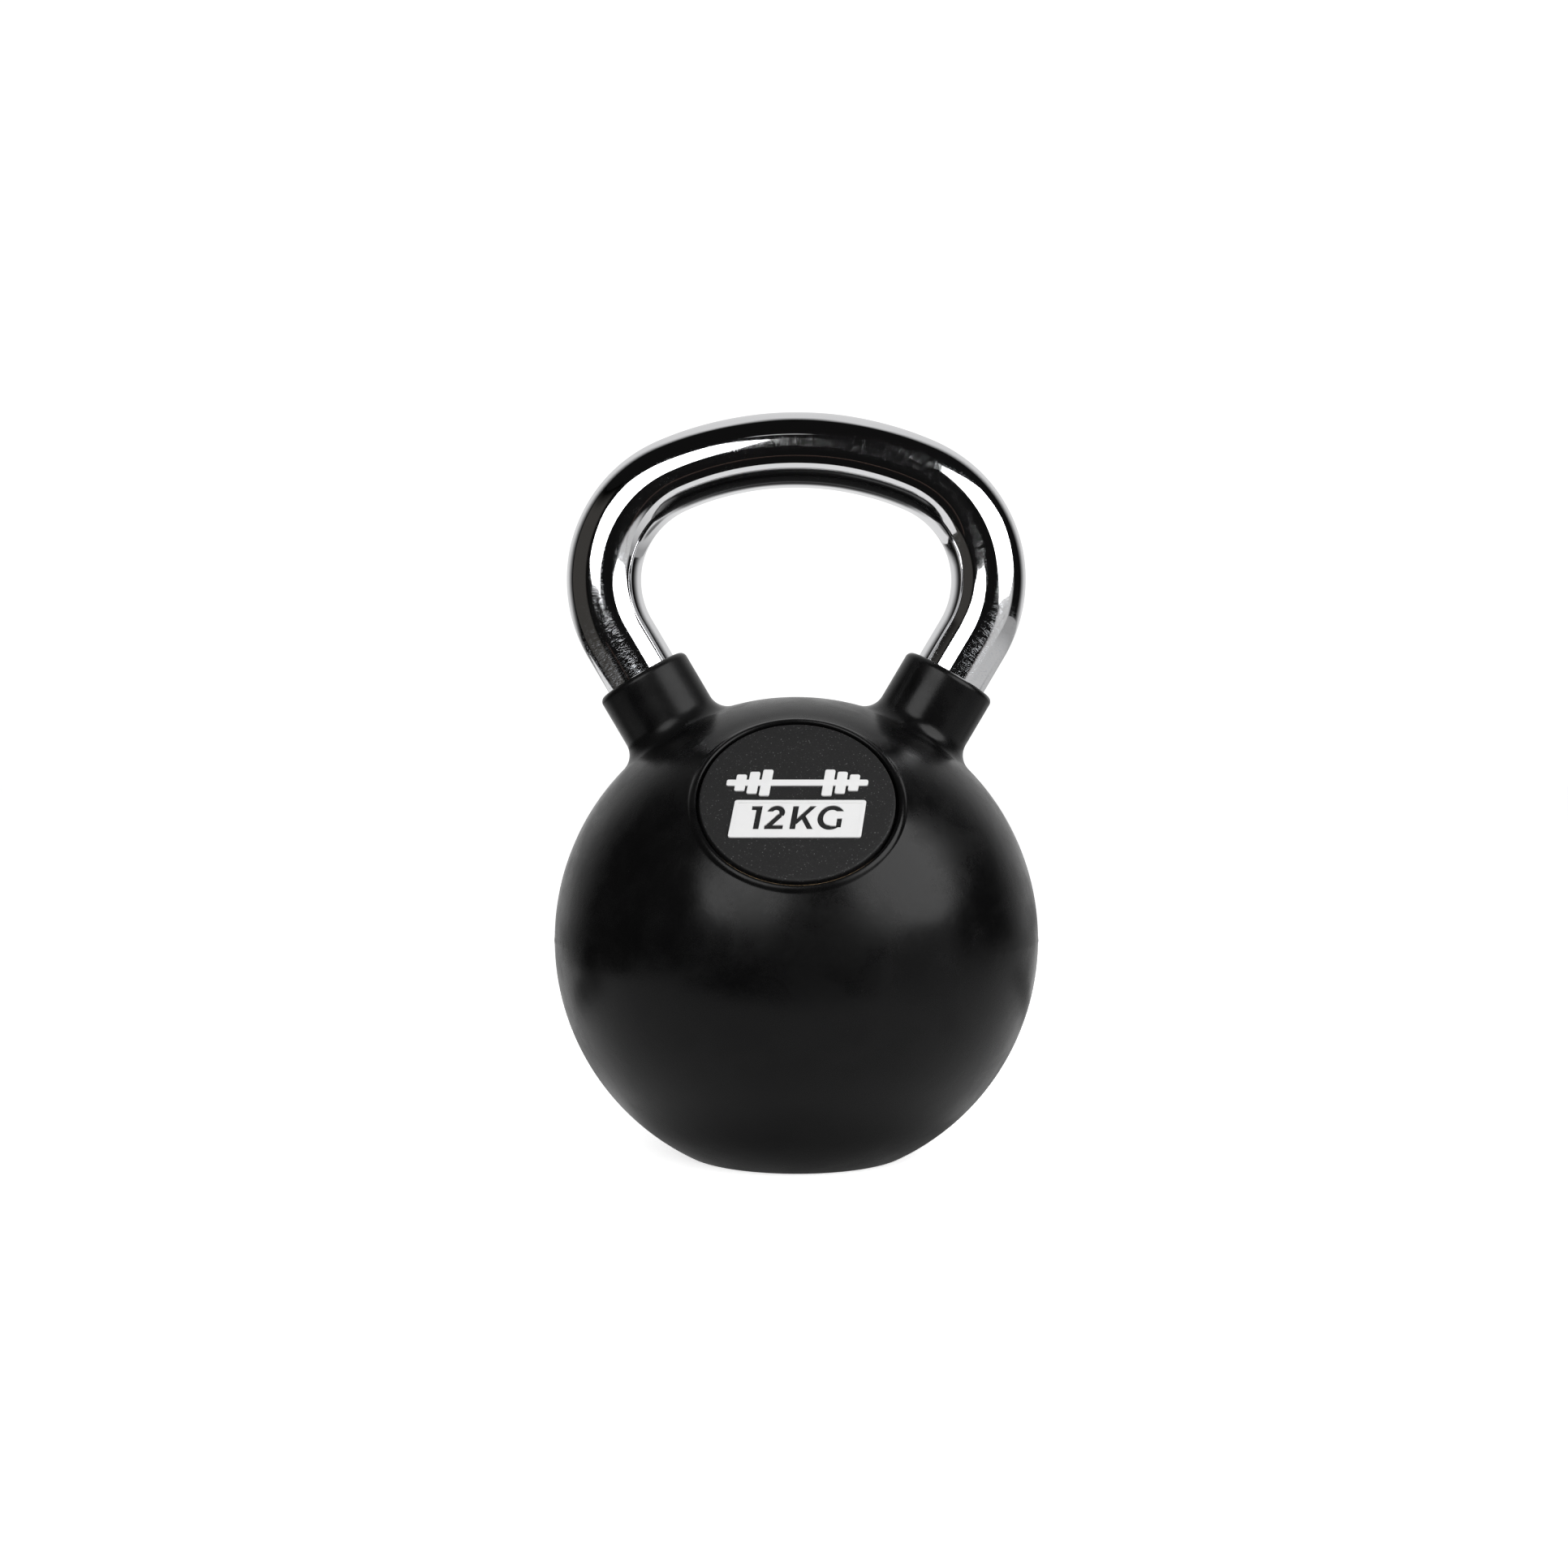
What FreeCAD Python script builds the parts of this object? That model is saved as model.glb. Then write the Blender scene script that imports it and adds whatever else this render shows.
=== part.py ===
"""Rubber-covered kettlebell with a chromed bar handle, as an assembly of separate solids.

Millimetres and degrees. The origin is the centre of the flat base, on the floor. +Z is up, +X is
to the right as one faces the badge, and the badge looks towards -Y.

A cast iron ball carries one bent steel bar, whose two legs stand in drilled sockets that point at
the ball's centre and are welded at their mouths. Rubber is moulded over the ball, the welds and the
foot of each leg. The badge is a separate disc, bonded into a pocket on the front.

Collars, sockets and badge are all round about a line of their own, so each is built in a frame
whose +Z is that line and is then placed.
"""

import FreeCAD, Part
import math
import os

from FreeCAD import Placement, Rotation, Vector

# Ball and rubber
BALL_RADIUS = 76.0
BALL_CENTRE_HEIGHT = 67.7
RUBBER_THICKNESS = 5.0
FLOOR_RUBBER = 4.5
BASE_EDGE_RADIUS = 3.0
CORE_EDGE_RADIUS = 2.0

# Handle bar: a wide top arc, two shoulder arcs and two straight legs
BAR_RADIUS = 11.75
HANDLE_APEX = 153.8  # bar axis at its highest point, above the ball's centre
TOP_ARC_RADIUS = 98.8
SHOULDER_RADIUS = 35.9
LEG_LEAN = 30.5  # each leg's angle from vertical; its axis meets the ball's centre
LEG_DEPTH = 30.0  # length of leg inside the iron
BAR_END_CHAMFER = 1.5

# Sockets and welds
SOCKET_CLEARANCE = 0.05
SOCKET_END_GAP = 0.5
SPOT_FACE_RADIUS = 18.0
SPOT_FACE_DISTANCE = 69.0
WELD_LEG = 4.5

# Rubber collars round the feet of the handle
COLLAR_RADIUS = 15.3
COLLAR_RIM_DISTANCE = 96.2
COLLAR_RIM_ROUND = 2.0
COLLAR_ROOT_ROUND = 6.5

# Badge: a disc in a lipped pocket
BADGE_ELEVATION = 38.8
BADGE_RISE = 0.6  # how far the badge's axis passes above the ball's centre
BADGE_RADIUS = 28.3
BADGE_FACE_DISTANCE = 71.0
BADGE_THICKNESS = 3.0
BADGE_EDGE_ROUND = 0.6
ADHESIVE_THICKNESS = 0.25
ADHESIVE_INSET = 0.4
POCKET_GAP = 0.9
LIP_DROP = 0.5  # how far the lip's top lies below the badge's face
LIP_WIDTH = 2.3
LIP_ROUND = 2.0
POCKET_FLOOR_RUBBER = 3.4

# Raised artwork on the badge, in the badge's own frame: x to the right, y up
ARTWORK_HEIGHT = 0.5
ARTWORK_EDGE_ROUND = 0.2
PLATE_WIDTH = 37.8
PLATE_TOP = -0.3
PLATE_BOTTOM = -13.6
PLATE_SLANT = 8.5
PLATE_CORNER_RADIUS = 0.8
PLATE_BORDER = 1.1
PLATE_RECESS = 0.1  # depth of the plate's middle below its border
STROKE = 1.65
THIN_STROKE = 1.45
NUMERAL_HEIGHT = 8.2
NUMERAL_MIDDLE = -6.6
EMBLEM_CENTRE_Y = 6.0
EMBLEM_BAR_LENGTH = 41.0
EMBLEM_BAR_WIDTH = 2.2
EMBLEM_PLATES = ((9.0, 9.6), (12.7, 8.0), (16.4, 6.0))  # centre from the middle, height
EMBLEM_PLATE_WIDTH = 3.0
EMBLEM_CORNER_RADIUS = 0.6

# Worked out from the dimensions above
BALL_CENTRE = Vector(0, 0, BALL_CENTRE_HEIGHT)
CORE_RADIUS = BALL_RADIUS - RUBBER_THICKNESS
COLLAR_SIDES = (("left", -1), ("right", 1))
POCKET_RADIUS = BADGE_RADIUS + POCKET_GAP
POCKET_FLOOR = BADGE_FACE_DISTANCE - BADGE_THICKNESS - ADHESIVE_THICKNESS
LIP_TOP = BADGE_FACE_DISTANCE - LIP_DROP
LIP_RADIUS = POCKET_RADIUS + LIP_WIDTH
CORE_FLAT = POCKET_FLOOR - POCKET_FLOOR_RUBBER
LEG_END = CORE_RADIUS - LEG_DEPTH
HALF_NUMERAL = NUMERAL_HEIGHT / 2

Z_AXIS = Vector(0, 0, 1)
BIG = 4 * BALL_RADIUS
TOLERANCE = 0.05


def leg_frame(side):
    """Frame at the ball's centre with +Z along one leg: side -1 is left, +1 is right."""
    return Placement(BALL_CENTRE, Rotation(Vector(0, 1, 0), side * LEG_LEAN))


def badge_frame():
    """Frame near the ball's centre with +Z out through the badge, +X right and +Y up the badge."""
    turn = Rotation(Vector(1, 0, 0), 90 - BADGE_ELEVATION)
    return Placement(BALL_CENTRE + turn.multVec(Vector(0, BADGE_RISE, 0)), turn)


def placed(shape, frame):
    """A copy of shape, carried from its own frame into the part's."""
    return shape.transformed(frame.toMatrix())


def disc(radius, low, high):
    """Cylinder on the frame's +Z from low to high."""
    return Part.makeCylinder(radius, high - low, Vector(0, 0, low))


def revolved(points):
    """Solid turned about +Z from a closed outline of (radius, height) points."""
    corners = [Vector(radius, 0, height) for radius, height in points]
    outline = Part.makePolygon(corners + corners[:1])
    return Part.Face(outline).revolve(Vector(0, 0, 0), Z_AXIS, 360)


def ring_edges(shape, radius, distance, frame=Placement()):
    """The edges that run round a frame's +Z at one radius and one distance along it."""
    found = []
    to_frame = frame.inverse()
    for edge in shape.Edges:
        if edge.Degenerated:
            continue
        points = [to_frame.multVec(point) for point in edge.discretize(5)]
        off_ring = [math.hypot(math.hypot(p.x, p.y) - radius, p.z - distance) for p in points]
        if max(off_ring) < TOLERANCE:
            found.append(edge)
    return found


def above_plane(height):
    """Everything above a level, as one large box."""
    return Part.makeBox(BIG, BIG, BIG, Vector(-BIG / 2, -BIG / 2, height))


def sphere_height(sphere_radius, ring_radius):
    """How far from the centre a coaxial ring lies on a sphere."""
    return math.sqrt(sphere_radius**2 - ring_radius**2)


def handle_angles():
    """Sweep of half the top arc, and of one shoulder arc, that bring each leg onto its line."""
    lean = math.radians(LEG_LEAN)
    offset = (HANDLE_APEX - TOP_ARC_RADIUS) * math.sin(lean) - SHOULDER_RADIUS
    top = LEG_LEAN + math.degrees(math.asin(offset / (TOP_ARC_RADIUS - SHOULDER_RADIUS)))
    return top, 90 + LEG_LEAN - top


def bent_bar(centre, bend_radius, start_angle, sweep):
    """A stretch of bar bent in the XZ plane; angles run from +Z towards +X."""
    start = math.radians(start_angle)
    outward = Vector(math.sin(start), 0, math.cos(start))
    tangent = Vector(math.cos(start), 0, -math.sin(start))
    section = Part.makeCircle(BAR_RADIUS, centre + outward * bend_radius, tangent)
    return Part.Face(Part.Wire(section)).revolve(centre, Vector(0, 1, 0), sweep)


def build_handle_bar():
    """One solid steel bar: top arc, shoulder arcs and legs, chamfered at both ends."""
    top_sweep, shoulder_sweep = handle_angles()
    top_centre = BALL_CENTRE + Vector(0, 0, HANDLE_APEX - TOP_ARC_RADIUS)
    bar = bent_bar(top_centre, TOP_ARC_RADIUS, -top_sweep, 2 * top_sweep)
    reach = TOP_ARC_RADIUS - SHOULDER_RADIUS
    turn = math.radians(top_sweep)
    for _, side in COLLAR_SIDES:
        shoulder = top_centre + Vector(side * reach * math.sin(turn), 0, reach * math.cos(turn))
        bend = bent_bar(shoulder, SHOULDER_RADIUS, side * top_sweep, side * shoulder_sweep)
        leg_top = math.radians(LEG_LEAN)
        run = (shoulder - BALL_CENTRE).dot(Vector(side * math.sin(leg_top), 0, math.cos(leg_top)))
        tip = LEG_END + BAR_END_CHAMFER
        tip_radius = BAR_RADIUS - BAR_END_CHAMFER
        leg = revolved(((0, LEG_END), (tip_radius, LEG_END), (BAR_RADIUS, tip),
                        (BAR_RADIUS, run), (0, run)))
        bar = bar.fuse([bend, placed(leg, leg_frame(side))])
    return bar.removeSplitter()


def build_core_blank():
    """Cast iron ball with its flat base, badge flat and spot faces, before drilling."""
    blank = Part.makeSphere(CORE_RADIUS, BALL_CENTRE).common(above_plane(FLOOR_RUBBER))
    base_ring = sphere_height(CORE_RADIUS, BALL_CENTRE_HEIGHT - FLOOR_RUBBER)
    base_edges = ring_edges(blank, base_ring, FLOOR_RUBBER)
    blank = blank.makeFillet(CORE_EDGE_RADIUS, base_edges)
    blank = blank.cut(placed(disc(CORE_RADIUS, CORE_FLAT, BALL_RADIUS), badge_frame()))
    for _, side in COLLAR_SIDES:
        spot_face = disc(SPOT_FACE_RADIUS, SPOT_FACE_DISTANCE, BALL_RADIUS)
        blank = blank.cut(placed(spot_face, leg_frame(side)))
    return blank


def build_iron_core(blank):
    """The ball with one blind socket drilled for each leg of the handle."""
    core = blank
    for _, side in COLLAR_SIDES:
        socket = disc(BAR_RADIUS + SOCKET_CLEARANCE, LEG_END - SOCKET_END_GAP, BALL_RADIUS)
        core = core.cut(placed(socket, leg_frame(side)))
    return core


def build_weld(side):
    """Fillet weld round one leg, standing on the core's spot face."""
    inner = Vector(BAR_RADIUS, 0, SPOT_FACE_DISTANCE)
    toe = inner + Vector(WELD_LEG, 0, 0)
    crown = inner + Vector(0, 0, WELD_LEG)
    bulge = inner + Vector(1, 0, 1) * (0.6 * WELD_LEG)
    outline = Part.Wire([
        Part.makeLine(inner, toe),
        Part.Arc(toe, bulge, crown).toShape(),
        Part.makeLine(crown, inner),
    ])
    bead = Part.Face(outline).revolve(Vector(0, 0, 0), Z_AXIS, 360)
    return placed(bead, leg_frame(side))


def build_ball_with_lip():
    """The ball, with a low round pad on it whose softened rim becomes the lip of the pocket."""
    pad = disc(LIP_RADIUS, CORE_FLAT, LIP_TOP)
    pad = pad.makeFillet(LIP_ROUND, ring_edges(pad, LIP_RADIUS, LIP_TOP))
    return Part.makeSphere(BALL_RADIUS, BALL_CENTRE).fuse(placed(pad, badge_frame()))


def build_cover_outside():
    """The outer form of the rubber: ball, badge lip, flat base and two collars."""
    form = build_ball_with_lip().common(above_plane(0))
    base_ring = sphere_height(BALL_RADIUS, BALL_CENTRE_HEIGHT)
    form = form.makeFillet(BASE_EDGE_RADIUS, ring_edges(form, base_ring, 0))
    for _, side in COLLAR_SIDES:
        frame = leg_frame(side)
        form = form.fuse(placed(disc(COLLAR_RADIUS, 0, COLLAR_RIM_DISTANCE), frame))
        root = sphere_height(BALL_RADIUS, COLLAR_RADIUS)
        root_edges = ring_edges(form, COLLAR_RADIUS, root, frame)
        form = form.makeFillet(COLLAR_ROOT_ROUND, root_edges)
        rim_edges = ring_edges(form, COLLAR_RADIUS, COLLAR_RIM_DISTANCE, frame)
        form = form.makeFillet(COLLAR_RIM_ROUND, rim_edges)
    return form


def build_rubber_cover(blank, bar, welds):
    """The moulded rubber: its outer form less the pocket and everything that it encloses."""
    pocket = placed(disc(POCKET_RADIUS, POCKET_FLOOR, BALL_RADIUS + 1), badge_frame())
    return build_cover_outside().cut([pocket, blank, bar] + welds)


def build_adhesive():
    """The film of glue under the badge."""
    film = disc(BADGE_RADIUS - ADHESIVE_INSET, POCKET_FLOOR, POCKET_FLOOR + ADHESIVE_THICKNESS)
    return placed(film, badge_frame())


def build_badge_disc():
    """The badge's black disc, rounded at its front edge."""
    back = BADGE_FACE_DISTANCE - BADGE_THICKNESS
    body = disc(BADGE_RADIUS, back, BADGE_FACE_DISTANCE)
    front_edge = ring_edges(body, BADGE_RADIUS, BADGE_FACE_DISTANCE)
    return placed(body.makeFillet(BADGE_EDGE_ROUND, front_edge), badge_frame())


def raised(outline):
    """A slab of the artwork's height on the badge's face, from a closed flat wire."""
    return Part.Face(outline).extrude(Vector(0, 0, ARTWORK_HEIGHT))


def polygon(points):
    """A closed wire on the badge's face through (x, y) points."""
    corners = [Vector(x, y, BADGE_FACE_DISTANCE) for x, y in points]
    return Part.makePolygon(corners + corners[:1])


def slanted(centre_x, low, high, width):
    """A parallelogram that leans right by the plate's slant, about the plate's own middle."""
    lean = math.tan(math.radians(PLATE_SLANT))
    middle = (low + high) / 2
    edges = []
    for y, direction in ((low, 1), (high, -1)):
        shift = centre_x + (y - middle) * lean
        edges += [(shift - direction * width / 2, y), (shift + direction * width / 2, y)]
    return polygon(edges)


def rounded_slab(outline, corner_radius):
    """A raised slab with rounded corners and a softened front edge."""
    slab = raised(outline)
    upright = [e for e in slab.Edges if abs(e.tangentAt(e.FirstParameter).z) > 0.9]
    slab = slab.makeFillet(corner_radius, upright)
    front = BADGE_FACE_DISTANCE + ARTWORK_HEIGHT
    front_edges = [e for e in slab.Edges if e.BoundBox.ZMin > front - TOLERANCE]
    return slab.makeFillet(ARTWORK_EDGE_ROUND, front_edges)


def stroke(start, end, width=STROKE):
    """A straight stroke of a numeral with square ends."""
    along = Vector(end[0] - start[0], end[1] - start[1], 0).normalize()
    half_x = -along.y * width / 2
    half_y = along.x * width / 2
    return raised(polygon((
        (start[0] + half_x, start[1] + half_y), (end[0] + half_x, end[1] + half_y),
        (end[0] - half_x, end[1] - half_y), (start[0] - half_x, start[1] - half_y))))


def oval_stroke(centre_x, centre_y, half_width, half_height):
    """A closed oval stroke whose outer edge has these half sizes."""
    middle = Vector(centre_x, centre_y, BADGE_FACE_DISTANCE)
    rings = []
    for inset in (0, STROKE):
        reach = (half_height - inset, half_width - inset)
        upright = Part.Ellipse(middle + Vector(0, reach[0], 0), middle - Vector(reach[1], 0, 0),
                               middle)
        rings.append(raised(Part.Wire(upright.toShape())))
    return rings[0].cut(rings[1])


def block(left, low, right, high):
    """A box through the artwork's whole height."""
    corner = Vector(left, low, BADGE_FACE_DISTANCE - 1)
    return Part.makeBox(right - left, high - low, ARTWORK_HEIGHT + 2, corner)


def figure_one():
    """A stem with a short flag to the left."""
    stem = stroke((-11.35, -HALF_NUMERAL), (-11.35, HALF_NUMERAL))
    flag_y = HALF_NUMERAL - THIN_STROKE / 2
    return stem.fuse(stroke((-13.5, flag_y), (-11.35, flag_y), THIN_STROKE))


def figure_two():
    """A round hook, a slanted neck and a flat foot."""
    hook_radius = 2.6
    hook_y = HALF_NUMERAL + 0.2 - hook_radius
    hook = oval_stroke(-6.4, hook_y, hook_radius, hook_radius)
    hook = hook.cut(block(-9.5, hook_y - 3, -6.4, hook_y + 0.4))
    hook = hook.cut(block(-6.5, hook_y - 3, -3.0, hook_y - 1.1))
    neck = stroke((-5.0, hook_y - 0.8), (-8.2, 0.8 - HALF_NUMERAL))
    foot_y = THIN_STROKE / 2 - HALF_NUMERAL
    foot = stroke((-9.0, foot_y), (-3.7, foot_y), THIN_STROKE)
    return hook.fuse([neck, foot])


def letter_k():
    """A stem and two arms, trimmed level with the other figures."""
    stem = stroke((-0.95, -HALF_NUMERAL), (-0.95, HALF_NUMERAL))
    upper = stroke((-0.5, -1.9), (4.7, 5.0), THIN_STROKE)
    lower = stroke((1.4, 0.6), (4.75, -5.2), THIN_STROKE)
    return stem.fuse([upper, lower]).common(block(-2, -HALF_NUMERAL, 6, HALF_NUMERAL))


def letter_g():
    """An oval bowl, open at the right above a short upright."""
    bowl = oval_stroke(9.6, 0, 3.9, HALF_NUMERAL + 0.25)
    bowl = bowl.cut(block(9.6, -2.9, 14, 2.2))
    return bowl.fuse(stroke((12.05, -0.3), (12.05, -3.5), THIN_STROKE))


def mass_marking():
    """The marking 12 KG in leaning strokes, ready to be sunk into the plate."""
    figures = figure_one().fuse([figure_two(), letter_k(), letter_g()])
    lean = FreeCAD.Matrix()
    lean.A12 = math.tan(math.radians(PLATE_SLANT))
    leaning = figures.transformGeometry(lean)
    leaning.translate(Vector(0, NUMERAL_MIDDLE, 0))
    return leaning


def build_weight_plate():
    """The raised white plate: a narrow border, a recessed middle and the mass let through it."""
    outline = slanted(0, PLATE_BOTTOM, PLATE_TOP, PLATE_WIDTH)
    middle = slanted(0, PLATE_BOTTOM + PLATE_BORDER, PLATE_TOP - PLATE_BORDER,
                     PLATE_WIDTH - 2 * PLATE_BORDER)
    recess = raised(middle)
    recess.translate(Vector(0, 0, ARTWORK_HEIGHT - PLATE_RECESS))
    plate = rounded_slab(outline, PLATE_CORNER_RADIUS).cut([recess, mass_marking()])
    return placed(plate, badge_frame())


def build_barbell_emblem():
    """A plain barbell sign: one long bar with three plates at each end."""
    half_bar = EMBLEM_BAR_WIDTH / 2
    bar = slanted(0, EMBLEM_CENTRE_Y - half_bar, EMBLEM_CENTRE_Y + half_bar, EMBLEM_BAR_LENGTH)
    sign = rounded_slab(bar, EMBLEM_CORNER_RADIUS)
    for offset, height in EMBLEM_PLATES:
        for side in (-1, 1):
            low = EMBLEM_CENTRE_Y - height / 2
            outline = slanted(side * offset, low, low + height, EMBLEM_PLATE_WIDTH)
            sign = sign.fuse(rounded_slab(outline, EMBLEM_CORNER_RADIUS))
    return placed(sign.removeSplitter(), badge_frame())


def main():
    blank = build_core_blank()
    bar = build_handle_bar()
    welds = {name: build_weld(side) for name, side in COLLAR_SIDES}
    parts = {
        "iron_core": build_iron_core(blank),
        "handle_bar": bar,
        "rubber_cover": build_rubber_cover(blank, bar, list(welds.values())),
        "badge_adhesive": build_adhesive(),
        "badge_disc": build_badge_disc(),
        "weight_plate": build_weight_plate(),
        "barbell_emblem": build_barbell_emblem(),
    }
    for name, weld in welds.items():
        parts[f"{name}_handle_weld"] = weld
    os.makedirs("parts", exist_ok=True)
    for name, shape in parts.items():
        shape.exportStep(f"parts/{name}.step")
        volume = shape.Volume / 1000
        print(f"{name}: {len(shape.Solids)} solid, valid {shape.isValid()}, {volume:.1f} cm3")


main()
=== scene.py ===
import math

import bmesh
import bpy
import numpy as np
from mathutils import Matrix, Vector


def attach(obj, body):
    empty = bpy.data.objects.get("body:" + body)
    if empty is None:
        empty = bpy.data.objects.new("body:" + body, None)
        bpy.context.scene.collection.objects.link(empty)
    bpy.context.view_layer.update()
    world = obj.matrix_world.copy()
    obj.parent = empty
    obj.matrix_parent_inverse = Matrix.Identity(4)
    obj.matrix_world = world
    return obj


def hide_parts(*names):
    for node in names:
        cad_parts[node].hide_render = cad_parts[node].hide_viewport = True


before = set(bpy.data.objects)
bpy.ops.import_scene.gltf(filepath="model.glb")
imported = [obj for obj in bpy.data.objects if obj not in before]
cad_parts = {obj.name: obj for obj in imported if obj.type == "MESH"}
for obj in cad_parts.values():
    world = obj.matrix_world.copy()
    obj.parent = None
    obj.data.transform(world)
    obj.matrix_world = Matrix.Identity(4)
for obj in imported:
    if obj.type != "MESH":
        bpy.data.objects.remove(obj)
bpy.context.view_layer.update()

MM = 0.001

# The object's dimensions in millimetres, as in the CAD.
BALL_R, BALL_Z = 76.0, 67.7
LEAN = math.radians(30.5)
BAR_R, APEX, TOP_R, SHOULDER_R = 11.75, 153.8, 98.8, 35.9
COLLAR_R, RIM, RIM_ROUND, ROOT_ROUND = 15.3, 96.2, 2.0, 6.5
BASE_ROUND = 3.0
BADGE_UP, BADGE_RISE = math.radians(38.8), 0.6
BADGE_R, FACE, THICK, EDGE = 28.3, 71.0, 3.0, 0.6
POCKET_R = BADGE_R + 0.9
POCKET_FLOOR = FACE - THICK - 0.25
LIP_R, LIP_TOP, LIP_ROUND = POCKET_R + 2.3, FACE - 0.5, 2.0
LIP_REACH = 36.0

CENTRE = np.array([0.0, 0.0, BALL_Z])
LEGS = {side: np.array([side * math.sin(LEAN), 0.0, math.cos(LEAN)]) for side in (-1, 1)}
BADGE_AXIS = np.array([0.0, -math.cos(BADGE_UP), math.sin(BADGE_UP)])
BADGE_TOP = np.array([0.0, math.sin(BADGE_UP), math.cos(BADGE_UP)])


# ---------------------------------------------------------------- mesh helpers

def basis(axis):
    """Two unit vectors square to an axis, from a direction that none of the axes here lies along."""
    side = np.cross(axis, [0.0, 1.0, 0.13])
    side /= np.linalg.norm(side)
    return side, np.cross(axis, side)


def arc(centre, radius, start, end, steps):
    """Points on an arc in a profile's (radius, height) plane; angles from +radius towards +height."""
    return [(centre[0] + radius * math.cos(a), centre[1] + radius * math.sin(a))
            for a in np.linspace(math.radians(start), math.radians(end), steps)]


def line(start, end, steps):
    """Points on a straight line in a profile's plane."""
    return [tuple(p) for p in np.linspace(start, end, steps)]


def without_repeats(profile):
    """The profile without points that repeat the one before."""
    kept = [profile[0]]
    for p in profile[1:]:
        if math.dist(p, kept[-1]) > 1e-4:
            kept.append(p)
    return kept


class Sheet:
    """Points in millimetres and faces, gathered from several patches."""

    def __init__(self):
        self.points, self.faces = [], []

    def ring(self, axis, radius, height, count, origin=CENTRE):
        """A ring of points round an axis."""
        u, v = basis(axis)
        first = len(self.points)
        for k in range(count):
            a = 2 * math.pi * k / count
            self.points.append(origin + axis * height + radius * (math.cos(a) * u + math.sin(a) * v))
        return list(range(first, first + count))

    def turned(self, axis, profile, count, origin=CENTRE):
        """A surface turned about an axis, from a profile that runs outwards. Gives its last ring."""
        rings = []
        for radius, height in without_repeats(profile):
            if radius < 1e-6:
                self.points.append(origin + axis * height)
                rings.append([len(self.points) - 1])
            else:
                rings.append(self.ring(axis, radius, height, count, origin))
        return self.joined(rings, count)

    def joined(self, rings, count):
        """Faces between rings that follow each other. Gives the last ring."""
        for a, b in zip(rings, rings[1:]):
            for k in range(count):
                n = (k + 1) % count
                if len(a) == 1:
                    self.faces.append((a[0], b[k], b[n]))
                elif len(b) == 1:
                    self.faces.append((a[k], b[0], a[n]))
                else:
                    self.faces.append((a[k], b[k], b[n], a[n]))
        return rings[-1]

    def made(self, name):
        """A smooth mesh object, with its faces turned outwards."""
        mesh = bpy.data.meshes.new(name)
        mesh.from_pydata([tuple(p) for p in np.asarray(self.points) * MM], [], self.faces)
        mesh.update()
        mesh.polygons.foreach_set("use_smooth", [True] * len(mesh.polygons))
        bm = bmesh.new()
        bm.from_mesh(mesh)
        bmesh.ops.recalc_face_normals(bm, faces=bm.faces)
        bm.to_mesh(mesh)
        bm.free()
        obj = bpy.data.objects.new(name, mesh)
        bpy.context.scene.collection.objects.link(obj)
        return obj


# ---------------------------------------------------------------- rubber cover

def collar_profile():
    """From the rim's mouth at the bar, over the rim, down the wall and out onto the ball."""
    gap, mouth_round, mouth_depth = 0.02, 0.4, 6
    mouth = BAR_R + gap
    root_x = COLLAR_R + ROOT_ROUND
    root_y = math.sqrt((BALL_R + ROOT_ROUND) ** 2 - root_x ** 2)
    ball_turn = math.degrees(math.atan2(root_y, root_x))
    profile = line((mouth, RIM - mouth_depth), (mouth, RIM - mouth_round), 3)
    profile += arc((mouth + mouth_round, RIM - mouth_round), mouth_round, 180, 90, 6)
    profile += line((mouth + mouth_round, RIM), (COLLAR_R - RIM_ROUND, RIM), 3)
    profile += arc((COLLAR_R - RIM_ROUND, RIM - RIM_ROUND), RIM_ROUND, 90, 0, 14)
    profile += line((COLLAR_R, RIM - RIM_ROUND), (COLLAR_R, root_y), 14)
    profile += arc((root_x, root_y), ROOT_ROUND, 180, 180 + ball_turn, 26)
    return profile


def pocket_profile():
    """From the pocket's floor up its wall, to the lip."""
    corner = 0.35
    profile = line((BADGE_R - 3, POCKET_FLOOR), (POCKET_R - corner, POCKET_FLOOR), 3)
    profile += arc((POCKET_R - corner, POCKET_FLOOR + corner), corner, -90, 0, 5)
    return profile + line((POCKET_R, POCKET_FLOOR + corner), (POCKET_R, LIP_TOP - 1.2), 5)


def higher(a, b, blend):
    """The larger of two heights, blended where they cross."""
    return 0.5 * (a + b + math.sqrt((a - b) ** 2 + blend ** 2))


def lip_height(across, up, blend):
    """How high the rubber stands at a point of the badge's frame: a round pad laid on the ball."""
    off = max(math.hypot(across, up) - LIP_R + LIP_ROUND, 0)
    rim = math.sqrt(max(LIP_ROUND ** 2 - off ** 2, 0)) - max(off - LIP_ROUND, 0) * 3
    ball = math.sqrt(BALL_R ** 2 - across ** 2 - (up + BADGE_RISE) ** 2)
    return higher(LIP_TOP - LIP_ROUND + rim, ball, blend)


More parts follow.
